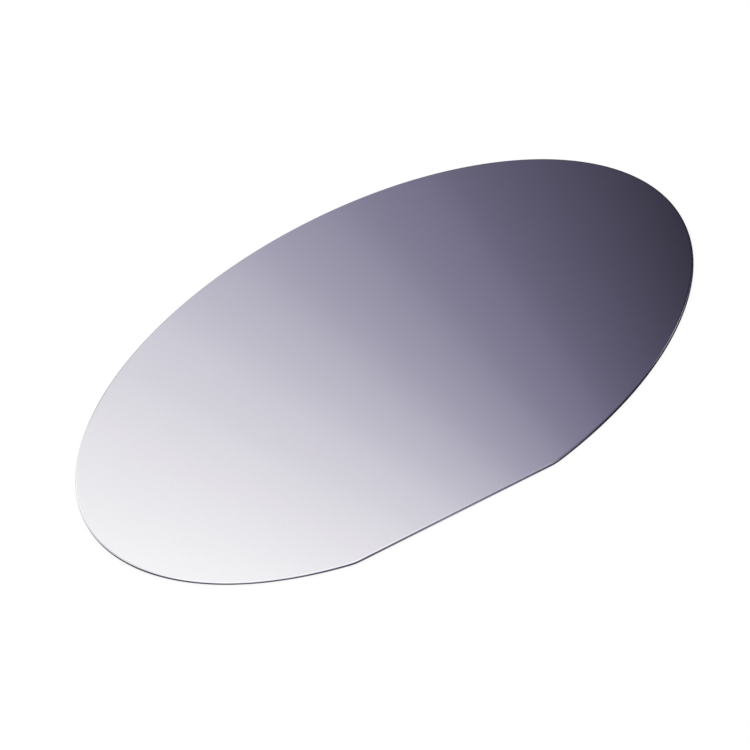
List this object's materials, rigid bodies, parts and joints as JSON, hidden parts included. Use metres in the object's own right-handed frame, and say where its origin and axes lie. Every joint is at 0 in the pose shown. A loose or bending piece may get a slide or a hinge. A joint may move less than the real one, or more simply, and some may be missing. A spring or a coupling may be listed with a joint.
{
  "type": "epitaxial wafer",
  "caption": "Thin round silicon wafer with a mirror-polished epitaxial face, a bevelled ground edge and one straight primary flat.",
  "frame": {"origin": "centre of the wafer's full circle, on the back face", "axes": "+Z leaves the polished epitaxial face, and the primary flat faces -Y and runs along X"},
  "size_m": [0.1, 0.0973, 0.0005],
  "materials": {
    "silicon": "polished"
  },
  "bodies": {
    "root": {"wafer": "silicon"}
  },
  "joints": []
}
